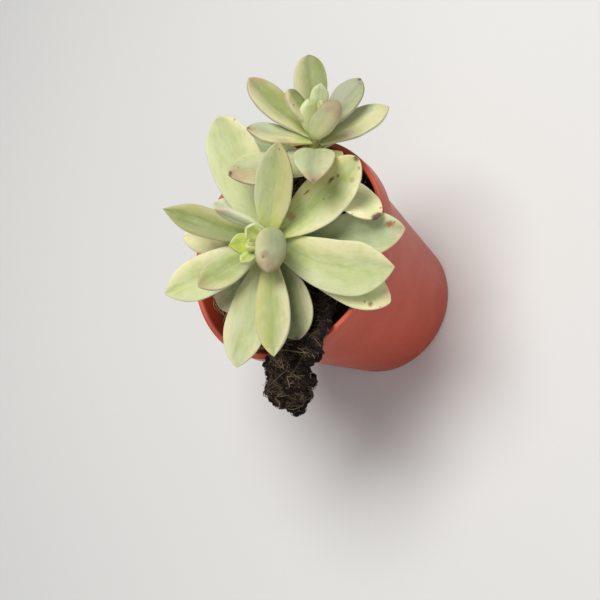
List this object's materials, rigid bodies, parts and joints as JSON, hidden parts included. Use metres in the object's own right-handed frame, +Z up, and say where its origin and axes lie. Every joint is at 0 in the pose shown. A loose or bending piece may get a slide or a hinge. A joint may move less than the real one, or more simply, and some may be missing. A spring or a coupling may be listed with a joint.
{
  "type": "potted succulent plant",
  "caption": "Small tapered nursery pot filled with dark peat, holding leaning rosettes of plump, pointed succulent leaves, with a rooty clump spilling over the rim.",
  "frame": {"origin": "middle of the pot's flat underside", "axes": "+Z up along the pot's axis; -Y towards the side from which the picture looks down on the plant; +X completes the right-handed frame"},
  "size_m": [0.0891, 0.0747, 0.088],
  "materials": {
    "pot": "satin",
    "peat": "matte",
    "root_mat": "matte",
    "leaves": "satin",
    "heart_leaves": "satin"
  },
  "bodies": {
    "root": {"main_leaf_01": "leaves", "main_leaf_02": "leaves", "main_leaf_03": "leaves", "main_leaf_04": "leaves", "main_leaf_05": "leaves", "main_leaf_06": "leaves", "main_leaf_07": "leaves", "main_leaf_08": "leaves", "main_leaf_09": "leaves", "main_leaf_10": "leaves", "main_leaf_11": "leaves", "main_leaf_12": "leaves", "main_leaf_13": "leaves", "main_leaf_14": "leaves", "main_leaf_15": "leaves", "main_leaf_16": "leaves", "main_stem": "heart_leaves", "pot": "pot", "root_clump": "root_mat", "soil": "peat", "top_leaf_01": "leaves", "top_leaf_02": "leaves", "top_leaf_03": "leaves", "top_leaf_04": "leaves", "top_leaf_05": "leaves", "top_leaf_06": "leaves", "top_leaf_07": "leaves", "top_leaf_08": "leaves", "top_leaf_09": "leaves", "top_leaf_10": "leaves", "top_leaf_11": "leaves", "top_leaf_12": "leaves", "top_leaf_13": "leaves", "top_stem": "heart_leaves"}
  },
  "joints": []
}
